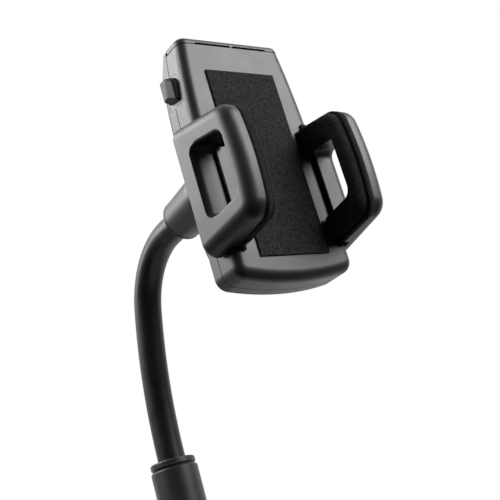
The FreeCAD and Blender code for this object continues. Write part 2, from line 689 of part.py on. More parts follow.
def make_button_spring():
    """Wave spring of half rounds between the button's flange and its stop."""
    start_x = button_flange_x() + BUTTON_FLANGE_T + RUN_GAP + BUTTON_SPRING_T / 2
    stop_x = STOP_X - RUN_GAP - BUTTON_SPRING_T / 2
    radius = (stop_x - start_x) / (2 * BUTTON_SPRING_WAVES)
    sides = {-1: [], 1: []}
    for i in range(BUTTON_SPRING_WAVES):
        centre_x = start_x + (2 * i + 1) * radius
        way = 1 if i % 2 == 0 else -1
        for side, edges in sides.items():
            r = radius + way * side * BUTTON_SPRING_T / 2
            edges.append(arc(V(centre_x - r, BUTTON_SPRING_Y, BUTTON_SPRING_Z),
                             V(centre_x, BUTTON_SPRING_Y, BUTTON_SPRING_Z + way * r),
                             V(centre_x + r, BUTTON_SPRING_Y, BUTTON_SPRING_Z)))
    return strip(sides[1], sides[-1], BUTTON_SPRING_W)


def make_pawl():
    """Lever with an upright arm for the button and a tooth over the ratchet."""
    half = PAWL_ARM_W / 2
    tip_z = ARM_TOP_Z + PAWL_TIP_GAP
    arm = [(PAWL_X - half, PAWL_Z), (PAWL_X - half, PAWL_ARM_TOP),
           (PAWL_X + half, PAWL_ARM_TOP), (PAWL_X + half, PAWL_Z)]
    tooth = [(PAWL_X - PAWL_HUB_R, PAWL_Z), (PAWL_TIP_X - half, tip_z + PAWL_ARM_W),
             (PAWL_TIP_X, tip_z), (PAWL_TIP_X + half, tip_z + RATCHET_DEPTH),
             (PAWL_X + half, PAWL_Z)]
    pawl = post(PAWL_X, PAWL_Z, PAWL_HUB_R, ARM_Y0, ARM_Y1)
    for points in (arm, tooth):
        pawl = pawl.fuse(polygon([V(x, ARM_Y0, z) for x, z in points]).extrude(V(0, ARM_T, 0)))
    return pawl.cut(post(PAWL_X, PAWL_Z, PAWL_PIN_R + RUN_GAP, 0, SEAM_Y)).removeSplitter()


def make_pawl_pin():
    """Headed steel pin that the pawl turns on."""
    head_y = ARM_Y1 + SLIDE_GAP
    pin = post(PAWL_X, PAWL_Z, PAWL_PIN_R, WALL, head_y)
    head = post(PAWL_X, PAWL_Z, PAWL_PIN_R + PAWL_HEAD_T, head_y, head_y + PAWL_HEAD_T)
    return pin.fuse(head).removeSplitter()


def make_pawl_spring():
    """Leaf spring from its post to the pawl's upright arm."""
    foot_x = LEAF_POST_X - LEAF_T
    tip_x = PAWL_X + PAWL_ARM_W / 2 + RUN_GAP
    points = [(LEAF_POST_X, LEAF_Z0), (LEAF_POST_X, LEAF_Z1), (tip_x + LEAF_T, LEAF_TIP_Z),
              (tip_x, LEAF_TIP_Z), (tip_x, LEAF_TIP_Z - LEAF_T), (foot_x, LEAF_Z1 - LEAF_T),
              (foot_x, LEAF_Z0)]
    return polygon([V(x, ARM_Y0, z) for x, z in points]).extrude(V(0, ARM_T, 0))


def make_shell_screws():
    """Four screws that draw the back shell onto the front shell's bosses."""
    screws = []
    for x, z in SHELL_SCREWS:
        shank = post(x, z, SCREW_R, SCREW_SEAT_Y - SCREW_LEN, SCREW_SEAT_Y)
        head = post(x, z, SCREW_HEAD_R, SCREW_SEAT_Y, SCREW_SEAT_Y + SCREW_HEAD_T)
        screws.append(shank.fuse(head).removeSplitter())
    return Part.makeCompound(screws)


def stud_screw_places():
    """Places of the stud's screws on the back, evenly round its flange."""
    places = []
    for i in range(STUD_SCREWS):
        turn = 2 * math.pi * (i + 0.5) / STUD_SCREWS
        places.append((STUD_SCREW_CIRCLE_R * math.cos(turn), BALL_Z + STUD_SCREW_CIRCLE_R * math.sin(turn)))
    return places


def stud_face_y():
    """Outer face of the stud's flange."""
    return BACK_Y - FLANGE_SUNK + FLANGE_T


def make_ball_stud():
    """Turned steel stud: ball, neck, flare and a flange with countersunk holes."""
    flare_s = FLANGE_S - STUD_FLARE_LEN
    body = turned([(0, 0), (STUD_NECK_R, 0), (STUD_NECK_R, flare_s), (STUD_FLARE_R, FLANGE_S),
                   (FLANGE_R, FLANGE_S), (FLANGE_R, FLANGE_S + FLANGE_T), (0, FLANGE_S + FLANGE_T)])
    stud = face_cradle(Part.makeSphere(BALL_R).fuse(body))
    y = stud_face_y()
    for x, z in stud_screw_places():
        stud = stud.cut(stud_screw(x, z, y, SCREW_GAP / 2))
    return stud.removeSplitter()


def stud_screw(x, z, y, grow):
    """Countersunk screw, or its hole when grown."""
    shank = post(x, z, SCREW_R + grow, y - STUD_SCREW_LEN, y)
    sink = Part.makeCone(SCREW_R + grow, STUD_SCREW_HEAD_R + grow, STUD_SCREW_SINK,
                         V(x, y - STUD_SCREW_SINK, z), V(0, 1, 0))
    return shank.fuse(sink).removeSplitter()


def make_ball_stud_screws():
    """Screws that hold the stud's flange on the back shell."""
    return Part.makeCompound([stud_screw(x, z, stud_face_y(), 0) for x, z in stud_screw_places()])


def face_cradle(shape):
    """Turns a shape made along +Z so that +Z runs from the ball to the cradle, and sets it on the ball."""
    copy = shape.copy()
    copy.rotate(V(0, 0, 0), V(1, 0, 0), 90)
    copy.translate(V(0, BALL_Y, BALL_Z))
    return copy


def face_neck(shape):
    """Turns a shape made along +Z so that +Z runs up the neck's end, and sets it on the ball."""
    copy = shape.copy()
    copy.rotate(V(0, 0, 0), V(1, 0, 0), math.degrees(NECK_END_TURN))
    copy.translate(V(0, BALL_Y, BALL_Z))
    return copy


def ball_seat(zone):
    """Ring of a hollow ball between two angles from the axis."""
    start, stop = zone
    middle = (start + stop) / 2
    inner = SEAT_R
    outer = SEAT_R + SEAT_T

    def at(radius, angle):
        return V(radius * math.sin(angle), 0, radius * math.cos(angle))

    edges = [arc(at(inner, start), at(inner, middle), at(inner, stop)),
             line(at(inner, stop), at(outer, stop)),
             arc(at(outer, stop), at(outer, middle), at(outer, start)),
             line(at(outer, start), at(inner, start))]
    return Part.Face(Part.Wire(edges)).revolve(V(0, 0, 0), V(0, 0, 1), 360)


def socket_blank():
    """Round head at the neck's end: tapered from its rim, domed over the ball, open at the mouth."""
    mouth_r = math.sqrt(DOME_R ** 2 - MOUTH_S ** 2)
    dome_turn = math.atan2(mouth_r, MOUTH_S)
    middle = (dome_turn + math.pi / 2) / 2
    edges = [line(V(0, 0, -DOME_LEN), V(DOME_RIM_R, 0, -DOME_LEN)),
             line(V(DOME_RIM_R, 0, -DOME_LEN), V(DOME_R, 0, DOME_FULL_S)),
             line(V(DOME_R, 0, DOME_FULL_S), V(DOME_R, 0, 0)),
             arc(V(DOME_R, 0, 0), V(DOME_R * math.sin(middle), 0, DOME_R * math.cos(middle)),
                 V(mouth_r, 0, MOUTH_S)),
             line(V(mouth_r, 0, MOUTH_S), V(0, 0, MOUTH_S)), line(V(0, 0, MOUTH_S), V(0, 0, -DOME_LEN))]
    blank = Part.Face(Part.Wire(edges)).revolve(V(0, 0, 0), V(0, 0, 1), 360)
    pocket = Part.makeCylinder(DISC_SPRING_R + NECK_GAP, -DISC_POCKET_S, V(0, 0, DISC_POCKET_S))
    sleeve_bore = Part.makeCylinder(NECK_R + NECK_GAP, NECK_IN_SOCKET, V(0, 0, RIM_S))
    core_bore = Part.makeCylinder(NECK_CORE_R + NECK_GAP, CORE_IN_SOCKET, V(0, 0, RIM_S))
    return blank.cut([Part.makeSphere(SOCKET_R), pocket, sleeve_bore, core_bore])


def socket_side(low, high):
    """Part of the socket between two stations along its axis."""
    return face_neck(socket_blank().common(Part.makeCylinder(2 * DOME_R, high - low, V(0, 0, low))))


def make_upper_ring():
    """Trim ring where the neck enters the socket, with a fine groove beside it."""
    bore = NECK_R + NECK_GAP
    groove_r = DOME_RIM_R - RIM_GROOVE
    groove_s = -DOME_LEN - RIM_GROOVE
    ring = turned([(bore, RIM_S), (DOME_RIM_R - RING_EDGE, RIM_S), (DOME_RIM_R, RIM_S + RING_EDGE),
                   (DOME_RIM_R, groove_s), (groove_r, groove_s), (groove_r, -DOME_LEN), (bore, -DOME_LEN)])
    return face_neck(ring)


def make_seat_spring():
    """Coned disc spring behind the rear ball seat."""
    low = DISC_POCKET_S
    high = low + DISC_SPRING_RISE
    return face_neck(turned([(DISC_SPRING_R, low), (DISC_SPRING_R, low + DISC_SPRING_T),
                             (DISC_SPRING_BORE, high), (DISC_SPRING_BORE, high - DISC_SPRING_T)]))


def neck_heading(turn):
    """Direction of the neck after a turn forwards from upright."""
    return V(0, -math.sin(turn), math.cos(turn))


def neck_outward(turn):
    """Direction away from the centre of a bend after a turn."""
    return V(0, math.cos(turn), math.sin(turn))


def neck_bends():
    """Start of the low bend, start of the top bend and end of the top bend."""
    low = V(0, 0, NECK_START_Z)
    top = low + (neck_outward(NECK_LOW_TURN) - neck_outward(0)) * NECK_LOW_BEND_R
    end = top + (neck_outward(NECK_END_TURN) - neck_outward(NECK_LOW_TURN)) * NECK_TOP_BEND_R
    return low, top, end


def bend(start, turn, radius, bend_r, angle):
    """Round bar bent forwards from a point."""
    face = Part.Face(Part.Wire(Part.makeCircle(radius, start, neck_heading(turn))))
    return face.revolve(start - neck_outward(turn) * bend_r, V(1, 0, 0), math.degrees(angle))


def neck_rod(radius, low_z, top_run):
    """Round bar along the neck: upright, a long gentle bend, a tight bend, then straight."""
    low, top, end = neck_bends()
    foot = Part.makeCylinder(radius, NECK_START_Z - low_z, V(0, 0, low_z))
    run = Part.makeCylinder(radius, top_run, end, neck_heading(NECK_END_TURN))
    return foot.fuse([bend(low, 0, radius, NECK_LOW_BEND_R, NECK_LOW_TURN),
                      bend(top, NECK_LOW_TURN, radius, NECK_TOP_BEND_R, NECK_TOP_TURN), run])


def make_neck_sleeve():
    """Outer sleeve of the gooseneck, from the stem into the socket."""
    run = NECK_STRAIGHT + NECK_IN_SOCKET
    return neck_rod(NECK_R, STEM_LEN, run).cut(neck_rod(NECK_CORE_R + NECK_GAP, STEM_LEN, run))


def make_neck_core():
    """Bendable core of the gooseneck, seated deeper at both ends."""
    return neck_rod(NECK_CORE_R, STEM_LEN - CORE_IN_STEM, NECK_STRAIGHT + CORE_IN_SOCKET)


def make_lower_ring():
    """Trim ring on the stem, with a narrow groove under it."""
    bore = NECK_R + NECK_GAP
    low = STEM_LEN
    shoulder = low + RING_SPIGOT_T
    flat_r = RING_R - RING_EDGE
    return turned([(bore, low), (RING_SPIGOT_R, low), (RING_SPIGOT_R, shoulder), (flat_r, shoulder),
                   (RING_R, shoulder + RING_EDGE), (RING_R, NECK_START_Z - RING_EDGE),
                   (flat_r, NECK_START_Z), (bore, NECK_START_Z)])


def make_stem():
    """Straight round stem with a socket for the neck's core."""
    stem = turned([(0, 0), (STEM_R - STEM_EDGE, 0), (STEM_R, STEM_EDGE), (STEM_R, STEM_LEN - STEM_EDGE),
                   (STEM_R - STEM_EDGE, STEM_LEN), (0, STEM_LEN)])
    bore = Part.makeCylinder(NECK_CORE_R + NECK_GAP, CORE_IN_STEM, V(0, 0, STEM_LEN - CORE_IN_STEM))
    return stem.cut(bore)


def main():
    ball = neck_bends()[2] + neck_heading(NECK_END_TURN) * (NECK_STRAIGHT - RIM_S)
    cradle_at = ball - V(0, BALL_Y, BALL_Z)
    left_jaw = make_left_jaw()
    left_jaw_pad = make_left_jaw_pad()
    cradle = {
        "front_shell": make_front_shell(),
        "back_shell": make_back_shell(),
        "top_cap": make_top_cap(),
        "front_pad": make_front_pad(),
        "shell_screws": make_shell_screws(),
        "left_jaw": left_jaw,
        "right_jaw": half_turn(left_jaw),
        "left_jaw_pad": left_jaw_pad,
        "right_jaw_pad": half_turn(left_jaw_pad),
        "pinion": make_pinion(),
        "pinion_axle": make_pinion_axle(),
        "opening_spring": make_opening_spring(),
        "release_button": make_release_button(),
        "button_spring": make_button_spring(),
        "pawl": make_pawl(),
        "pawl_pin": make_pawl_pin(),
        "pawl_spring": make_pawl_spring(),
        "ball_stud": make_ball_stud(),
        "ball_stud_screws": make_ball_stud_screws(),
        "ball_seat_front": face_cradle(ball_seat(SEAT_FRONT)),
        "ball_seat_rear": face_neck(ball_seat(SEAT_REAR)),
        "seat_spring": make_seat_spring(),
        "socket_head": socket_side(-DOME_LEN, SOCKET_SPLIT_S),
        "socket_cap": socket_side(SOCKET_SPLIT_S, MOUTH_S),
        "upper_ring": make_upper_ring(),
    }
    arm = {
        "neck_sleeve": make_neck_sleeve(),
        "neck_core": make_neck_core(),
        "lower_ring": make_lower_ring(),
        "stem": make_stem(),
    }
    os.makedirs("parts", exist_ok=True)
    for shape in cradle.values():
        shape.translate(cradle_at)
    for name, shape in {**cradle, **arm}.items():
        shape.exportStep(os.path.join("parts", name + ".step"))
        print(f"{name:18s} solids {len(shape.Solids)} valid {shape.isValid()} volume {shape.Volume:9.1f}")
    print("ball", [round(v, 3) for v in ball], "cradle", [round(v, 3) for v in cradle_at])


main()
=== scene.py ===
# %% [markdown]
# A phone holder for a car: a cradle with two geared jaws, a ball joint, a bent neck and a stem.
# Its rigid parts arrive as finished solids, already in metres and in their places.
# This lesson dresses them. It sets a camera and a plain studio, makes finishes out of nodes,
# cuts closer shapes for the jaws and the button, and models the felt and the soft facings.
# Nearly every piece that is made here takes the place of a plainer solid.

# %% Load the frame
import bpy
import bmesh
import math
from mathutils import Matrix, Vector, noise


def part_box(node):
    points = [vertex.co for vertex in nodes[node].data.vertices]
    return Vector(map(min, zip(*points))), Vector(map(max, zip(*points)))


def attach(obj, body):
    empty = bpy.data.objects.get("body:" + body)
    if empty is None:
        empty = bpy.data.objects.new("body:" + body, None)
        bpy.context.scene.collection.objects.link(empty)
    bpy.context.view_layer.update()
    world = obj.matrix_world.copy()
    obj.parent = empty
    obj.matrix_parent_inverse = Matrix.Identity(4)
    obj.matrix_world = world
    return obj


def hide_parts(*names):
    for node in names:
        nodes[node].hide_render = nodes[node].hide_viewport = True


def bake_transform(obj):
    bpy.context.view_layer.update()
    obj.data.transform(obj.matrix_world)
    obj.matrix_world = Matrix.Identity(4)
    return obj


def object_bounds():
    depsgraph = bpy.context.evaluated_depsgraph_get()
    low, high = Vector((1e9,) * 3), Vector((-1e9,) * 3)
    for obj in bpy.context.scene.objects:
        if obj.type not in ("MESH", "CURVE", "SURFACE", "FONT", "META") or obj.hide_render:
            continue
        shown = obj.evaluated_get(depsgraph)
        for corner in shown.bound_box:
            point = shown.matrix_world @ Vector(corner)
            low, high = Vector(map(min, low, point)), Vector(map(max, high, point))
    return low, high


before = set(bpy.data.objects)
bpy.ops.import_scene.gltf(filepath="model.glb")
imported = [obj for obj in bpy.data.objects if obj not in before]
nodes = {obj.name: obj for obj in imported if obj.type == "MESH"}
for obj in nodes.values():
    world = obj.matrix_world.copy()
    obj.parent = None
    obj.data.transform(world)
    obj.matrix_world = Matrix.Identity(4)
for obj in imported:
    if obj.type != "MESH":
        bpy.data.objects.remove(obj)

scene = bpy.context.scene
cad_box = [list(corner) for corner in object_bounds()]
FLOOR_Z = cad_box[0][2]
SLOT_OF = {name: solid.data.materials[0].name for name, solid in nodes.items()}
print("solids", len(nodes), "slots", sorted(set(SLOT_OF.values())))

# %% [markdown]
# The photograph was taken from low down on the holder's left, looking up at the cradle.
# A camera can be aimed by eye, or its three axes can be written down as they were measured.
# Measured axes are chosen here, because the edges then fall on the photograph's own edges.
# The image is square, so one focal length in pixels gives the lens on a 36 mm sensor.

# %% Camera
IMAGE_PIXELS = 500
FOCAL_PIXELS = 961.9
SENSOR_MM = 36.0
CAMERA_AT = Vector((-0.2617, -0.4318, -0.0090))
CAMERA_RIGHT = Vector((0.79857, -0.53701, -0.27185))
CAMERA_UP = Vector((0.03651, -0.40760, 0.91243))
CAMERA_BACK = Vector((-0.60079, -0.73857, -0.30589))

camera = bpy.data.objects.new("camera", bpy.data.cameras.new("camera"))
scene.collection.objects.link(camera)
camera.data.sensor_width = SENSOR_MM
camera.data.lens = FOCAL_PIXELS / IMAGE_PIXELS * SENSOR_MM
turn = Matrix((CAMERA_RIGHT, CAMERA_UP, CAMERA_BACK)).transposed()
camera.matrix_world = Matrix.Translation(CAMERA_AT) @ turn.to_4x4()
scene.camera = camera
print("lens in mm", round(camera.data.lens, 2))

# %% [markdown]
# The holder stands alone on white. A wide floor could lie under it,
# but the camera is low and would show the floor's edge.
# So a small round table of pale grey does, small enough to stay out of the view.

# %% Table
TABLE_RADIUS = 0.115
TABLE_THICK = 0.006
TABLE_EDGE = 0.001
TABLE_EDGE_STEPS = 3
TABLE_SIDES = 128
TABLE_ROUGH = 0.9
TABLE_GREY = (0.45, 0.45, 0.45, 1)


def pale_table():
    """Round table top, its upper face just under the stem."""
    mesh = bpy.data.meshes.new("table")
    shape = bmesh.new()
    bmesh.ops.create_cone(shape, cap_ends=True, segments=TABLE_SIDES, radius1=TABLE_RADIUS,
                          radius2=TABLE_RADIUS, depth=TABLE_THICK)
    rims = [e for e in shape.edges if abs(e.verts[0].co.z - e.verts[1].co.z) < TABLE_EDGE]
    bmesh.ops.bevel(shape, geom=rims, offset=TABLE_EDGE, segments=TABLE_EDGE_STEPS, affect="EDGES")
    bmesh.ops.translate(shape, vec=(0, 0, FLOOR_Z - TABLE_THICK / 2), verts=shape.verts)
    shape.to_mesh(mesh)
    shape.free()
    table = bpy.data.objects.new("table", mesh)
    scene.collection.objects.link(table)
    paint = bpy.data.materials.new("table_paint")
    paint.use_nodes = True
    shader = paint.node_tree.nodes["Principled BSDF"]
    shader.inputs["Base Color"].default_value = TABLE_GREY
    shader.inputs["Roughness"].default_value = TABLE_ROUGH
    mesh.materials.append(paint)


pale_table()
print("table top at", round(FLOOR_Z, 4))

# %% [markdown]
# The white all round comes from the world. A white wall behind the holder would look the same,
# but a world needs no mesh, and a Light Path node can say which rays see it as white.
# The far side stays white in reflections too, which draws the light rims on the black parts.
# All other rays get only a dim light, so that the lamps do the work.

# %% World
ROOM_LIGHT = 0.05
WHITE_SIDE = (0.60, 0.74, 0.31)
WHITE_FROM = 0.0
WHITE_FULL = 0.6


def white_world():
    """White to the camera, white on the far side in reflections, and dim light elsewhere."""
    world = bpy.data.worlds.new("white_room")
    world.use_nodes = True
    tree = world.node_tree
    ground = tree.nodes["Background"]
    ground.inputs["Color"].default_value = (1, 1, 1, 1)
    path = tree.nodes.new("ShaderNodeLightPath")
    place = tree.nodes.new("ShaderNodeTexCoord")
    side = tree.nodes.new("ShaderNodeVectorMath")
    side.operation = "DOT_PRODUCT"
    side.inputs[1].default_value = WHITE_SIDE
    tree.links.new(place.outputs["Generated"], side.inputs[0])
    backdrop = tree.nodes.new("ShaderNodeMapRange")
    backdrop.interpolation_type = "SMOOTHSTEP"
    backdrop.inputs["From Min"].default_value = WHITE_FROM
    backdrop.inputs["From Max"].default_value = WHITE_FULL
    tree.links.new(side.outputs["Value"], backdrop.inputs["Value"])

    shiny = tree.nodes.new("ShaderNodeMath")
    shiny.operation = "MAXIMUM"
    tree.links.new(path.outputs["Is Glossy Ray"], shiny.inputs[0])
    tree.links.new(path.outputs["Is Transmission Ray"], shiny.inputs[1])
    seen = tree.nodes.new("ShaderNodeMath")
    seen.operation = "MULTIPLY"
    tree.links.new(shiny.outputs["Value"], seen.inputs[0])
    tree.links.new(backdrop.outputs["Result"], seen.inputs[1])
    white = tree.nodes.new("ShaderNodeMath")
    white.operation = "MAXIMUM"
    tree.links.new(path.outputs["Is Camera Ray"], white.inputs[0])
    tree.links.new(seen.outputs["Value"], white.inputs[1])
    level = tree.nodes.new("ShaderNodeMapRange")
    level.inputs["To Min"].default_value = ROOM_LIGHT
    tree.links.new(white.outputs["Value"], level.inputs["Value"])
    tree.links.new(level.outputs["Result"], ground.inputs["Strength"])
    scene.world = world


white_world()
scene.view_settings.view_transform = "Standard"
print("world", scene.world.name, "view", scene.view_settings.view_transform)

# %% [markdown]
# Satin black shows its form through reflections, so two large soft lamps do the lighting.
# One stands in front on the right, where the front face reflects it,
# and one behind on the left, where the left walls do.
# The dark gap between them leaves the rounded edges dark, as the photograph has them.
# Both hang high, so every upright face is brightest at its top.

# %% Lamps
CRADLE_MIDDLE = sum(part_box("front_pad"), Vector()) / 2
LAMP_DISTANCE = 0.9


def soft_lamp(name, direction, width, height, power):
    """Rectangular lamp that faces the cradle from a direction."""
    lamp = bpy.data.lights.new(name, "AREA")
    lamp.shape = "RECTANGLE"
    lamp.size = width
    lamp.size_y = height
    lamp.energy = power
    holder = bpy.data.objects.new(name, lamp)
    aim = Vector(direction).normalized()
    holder.location = CRADLE_MIDDLE + LAMP_DISTANCE * aim
    holder.rotation_euler = aim.to_track_quat("Z", "Y").to_euler()
    scene.collection.objects.link(holder)


soft_lamp("lamp_front_right", (0.47, -0.74, 0.46), 0.70, 0.62, 13.0)
soft_lamp("lamp_left_back", (-0.62, 0.50, 0.56), 0.84, 0.66, 15.0)

# %% [markdown]
# Every finish here is built out of shader nodes, and some steps come again in each of them:
# a node with a few sockets set, a ramp between two colours, a new material with its shader.
# They could be written out each time, but three small helpers keep the recipes short enough to read.

# %% Helpers for finishes
def node(tree, kind, **values):
    """New node of a kind, with its sockets set by name."""
    made = tree.nodes.new("ShaderNode" + kind)
    for socket, value in values.items():
        made.inputs[socket.replace("_", " ")].default_value = value
    return made


def ramp(tree, source, low, high, dark, light):
    """Colour ramp from dark to light between two levels of a source."""
    colours = tree.nodes.new("ShaderNodeValToRGB")
    for element, place, colour in zip(colours.color_ramp.elements, (low, high), (dark, light)):
        element.position = place
        element.color = (*colour, 1)
    tree.links.new(source, colours.inputs["Fac"])
    return colours.outputs["Color"]


def new_finish(name, metal, specular):
    """Empty finish: its material, node tree, shader and the place on the object."""
    material = bpy.data.materials.new(name)
    material.use_nodes = True
    tree = material.node_tree
    shader = tree.nodes["Principled BSDF"]
    shader.inputs["Metallic"].default_value = metal
    shader.inputs["Specular IOR Level"].default_value = specular
    place = tree.nodes.new("ShaderNodeTexCoord").outputs["Object"]
    return material, tree, shader, place


print("helpers for finishes are ready")

# %% [markdown]
# The hard parts share one recipe, a Principled shader with four things fed into it:
# a colour that drifts a little, a roughness that drifts with it, a fine grain as bump,
# and a painted highlight: edges painted lighter, where moulded edges would catch light.
# The Bevel node gives those edges, because it finds them however a mesh is divided.

# %% Recipe for hard finishes
EDGE_ROUND = 0.00035
EDGE_REACH = 0.0009
EDGE_SAMPLES = 4
DRIFT_RANGE = (0.35, 0.65)
GLOSS_RANGE = (0.3, 0.7)
# The painted highlight on the edges: where it starts and where it is full, its share of the colour, and
# how much lighter it is.
HIGHLIGHT_EDGE_FROM = 0.985
HIGHLIGHT_EDGE_FULL = 0.80
HIGHLIGHT_EDGE_SHARE = 0.6
HIGHLIGHT_EDGE_LIGHTER = 2.2


def hard_finish(name, dark, light, rough, drift, grain, depth, metal=0.0, specular=0.5):
    """Moulded or turned surface: drifting colour and gloss, a painted highlight on the edges and a fine
    grain.
    """
    material, tree, shader, place = new_finish(name, metal, specular)
    cloud = node(tree, "TexNoise", Scale=drift, Detail=5.0, Roughness=0.6)
    tree.links.new(place, cloud.inputs["Vector"])
    skin = ramp(tree, cloud.outputs["Fac"], *DRIFT_RANGE, dark, light)

    # Where the bevelled normal turns away from the true one, the colour is lightened: a painted highlight
    # along the edges.
    soft_edge = node(tree, "Bevel", Radius=EDGE_REACH)
    soft_edge.samples = EDGE_SAMPLES
    true_face = tree.nodes.new("ShaderNodeNewGeometry")
    turn_away = tree.nodes.new("ShaderNodeVectorMath")
    turn_away.operation = "DOT_PRODUCT"
    tree.links.new(soft_edge.outputs["Normal"], turn_away.inputs[0])
    tree.links.new(true_face.outputs["Normal"], turn_away.inputs[1])
    edge_highlight = node(tree, "MapRange", From_Min=HIGHLIGHT_EDGE_FROM, From_Max=HIGHLIGHT_EDGE_FULL, To_Min=0.0, To_Max=HIGHLIGHT_EDGE_SHARE)
    tree.links.new(turn_away.outputs["Value"], edge_highlight.inputs["Value"])
    painted_edge_highlight = tree.nodes.new("ShaderNodeMix")
    painted_edge_highlight.data_type = "RGBA"
    painted_edge_highlight.inputs["B"].default_value = (*(HIGHLIGHT_EDGE_LIGHTER * c for c in light), 1)
    tree.links.new(edge_highlight.outputs["Result"], painted_edge_highlight.inputs["Factor"])
    tree.links.new(skin, painted_edge_highlight.inputs["A"])
    tree.links.new(painted_edge_highlight.outputs["Result"], shader.inputs["Base Color"])

    gloss = node(tree, "MapRange", From_Min=GLOSS_RANGE[0], From_Max=GLOSS_RANGE[1],
                 To_Min=rough[0], To_Max=rough[1])
    tree.links.new(cloud.outputs["Fac"], gloss.inputs["Value"])
    tree.links.new(gloss.outputs["Result"], shader.inputs["Roughness"])

    speck = node(tree, "TexNoise", Scale=grain, Detail=2.0)
    tree.links.new(place, speck.inputs["Vector"])
    round_edge = node(tree, "Bevel", Radius=EDGE_ROUND)
    round_edge.samples = EDGE_SAMPLES
    bump = node(tree, "Bump", Strength=1.0, Distance=depth)
    tree.links.new(speck.outputs["Fac"], bump.inputs["Height"])
    tree.links.new(round_edge.outputs["Normal"], bump.inputs["Normal"])
    tree.links.new(bump.outputs["Normal"], shader.inputs["Normal"])
    return material


print("edges rounded by", 1000 * EDGE_ROUND, "mm")

# %% [markdown]
# The shells, jaws and arm are black moulded plastic with a satin, faintly grained skin,
# and the release button is a little duller. The neck's sleeve is rubber.
# Inside are steel pins, springs and pale gear plastic.
# Each could be one plain colour, but plain black plastic looks like a hole in the picture.
# So all of them come from the recipe, each with its own darks, gloss and grain.

# %% Hard finishes
GRAIN = 0.000006
FINISH = {
    "shell_plastic": hard_finish("satin_shell", (0.012, 0.012, 0.0125), (0.017, 0.017, 0.018),
                                 (0.40, 0.46), 70, 3200, GRAIN),
    "jaw_plastic": hard_finish("satin_jaw", (0.012, 0.012, 0.0125), (0.017, 0.017, 0.018),
                               (0.42, 0.48), 70, 3200, GRAIN),
    "button_plastic": hard_finish("dull_button", (0.007, 0.007, 0.0075), (0.011, 0.011, 0.0115),
                                  (0.48, 0.56), 70, 3200, GRAIN, specular=0.32),
    "arm_plastic": hard_finish("satin_arm", (0.009, 0.009, 0.0095), (0.014, 0.014, 0.0145),
                               (0.38, 0.44), 70, 3200, GRAIN),
    "neck_rubber": hard_finish("neck_rubber", (0.004, 0.004, 0.0045), (0.008, 0.008, 0.0085),
                               (0.34, 0.42), 90, 2600, GRAIN, specular=0.35),
    "bare_steel": hard_finish("turned_steel", (0.42, 0.42, 0.43), (0.56, 0.56, 0.57),
                              (0.24, 0.38), 260, 2600, GRAIN, metal=1.0),
    "spring_steel": hard_finish("rolled_steel", (0.34, 0.34, 0.36), (0.46, 0.46, 0.48),
                                (0.22, 0.34), 260, 2600, GRAIN, metal=1.0),
    "screw_steel": hard_finish("black_screw", (0.03, 0.03, 0.032), (0.06, 0.06, 0.063),
                               (0.30, 0.42), 300, 2600, GRAIN, metal=1.0),
    "gear_plastic": hard_finish("gear_plastic", (0.62, 0.60, 0.55), (0.70, 0.68, 0.63),
                                (0.38, 0.48), 120, 2600, GRAIN),
}
for name, solid in nodes.items():
    if SLOT_OF[name] in FINISH:
        solid.data.materials.clear()
        solid.data.materials.append(FINISH[SLOT_OF[name]])
print("dressed", sum(SLOT_OF[name] in FINISH for name in nodes), "solids")

# %% [markdown]
# Some parts need small blocks of their own: to cut a sill, to fill an opening, to edge the felt.
# Blocks could be scaled cubes, but few of these have square sides.
# So each is written as rings of points in millimetres on the cradle, joined ring to ring.

# %% Blocks from rings
FRONT = Vector((0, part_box("front_shell")[0].y, CRADLE_MIDDLE.z))
MM = 0.001
CORNER_STEPS = 8


def on_cradle(x, y, z):
    """Point of the cradle in mm: y from the front face, z from the middle of the panel."""
    return FRONT + MM * Vector((x, y, z))


def new_piece(name, shape):
    """New object from a bmesh, with its faces turned outwards."""
    bmesh.ops.recalc_face_normals(shape, faces=shape.faces)
    mesh = bpy.data.meshes.new(name)
    shape.to_mesh(mesh)
    shape.free()
    piece = bpy.data.objects.new(name, mesh)
    scene.collection.objects.link(piece)
    return piece


def ring_block(name, *rings):
    """Closed block through rings of as many points each."""
    shape = bmesh.new()
    loops = [[shape.verts.new(p) for p in ring] for ring in rings]
    for a, b in zip(loops, loops[1:]):
        for i in range(len(a)):
            j = (i + 1) % len(a)
            shape.faces.new((a[i], a[j], b[j], b[i]))
    shape.faces.new(loops[0][::-1])
    shape.faces.new(loops[-1])
    return new_piece(name, shape)


def corner_arc(y, z, radius, turn):
    """Points of a quarter round that starts at a turn, about a centre in the side view."""
    angles = [math.pi / 2 * (turn + i / CORNER_STEPS) for i in range(CORNER_STEPS + 1)]
    return [(y + radius * math.cos(a), z + radius * math.sin(a)) for a in angles]


print("front face of the cradle at y", round(FRONT.y, 4))

# %% [markdown]
# Three hard parts need a closer shape than their solids have: the windows of the two jaws,
# whose sills dip away to the outside, and the release button, whose cap has a slanting foot.
# A solid's own mesh is never changed. A copy is cut with a Boolean instead,
# and the copy then stands for the solid.
# Cutting breaks the smooth shading, so it is set again by angle and weighted by face size.

# %% Cut copies of solids
WELD = 0.000002
SHARP_FROM = math.radians(28)


def plain_copy(name, solid):
    """Copy of a solid's mesh, its split corners joined again."""
    shape = bmesh.new()
    shape.from_mesh(nodes[solid].data)
    bmesh.ops.remove_doubles(shape, verts=shape.verts, dist=WELD)
    piece = new_piece(name, shape)
    if "custom_normal" in piece.data.attributes:
        piece.data.attributes.remove(piece.data.attributes["custom_normal"])
    return piece


def settle(piece):
    """Turn a piece's modifiers into its mesh."""
    view = bpy.context.evaluated_depsgraph_get()
    mesh = bpy.data.meshes.new_from_object(piece.evaluated_get(view))
    piece.modifiers.clear()
    piece.data = mesh


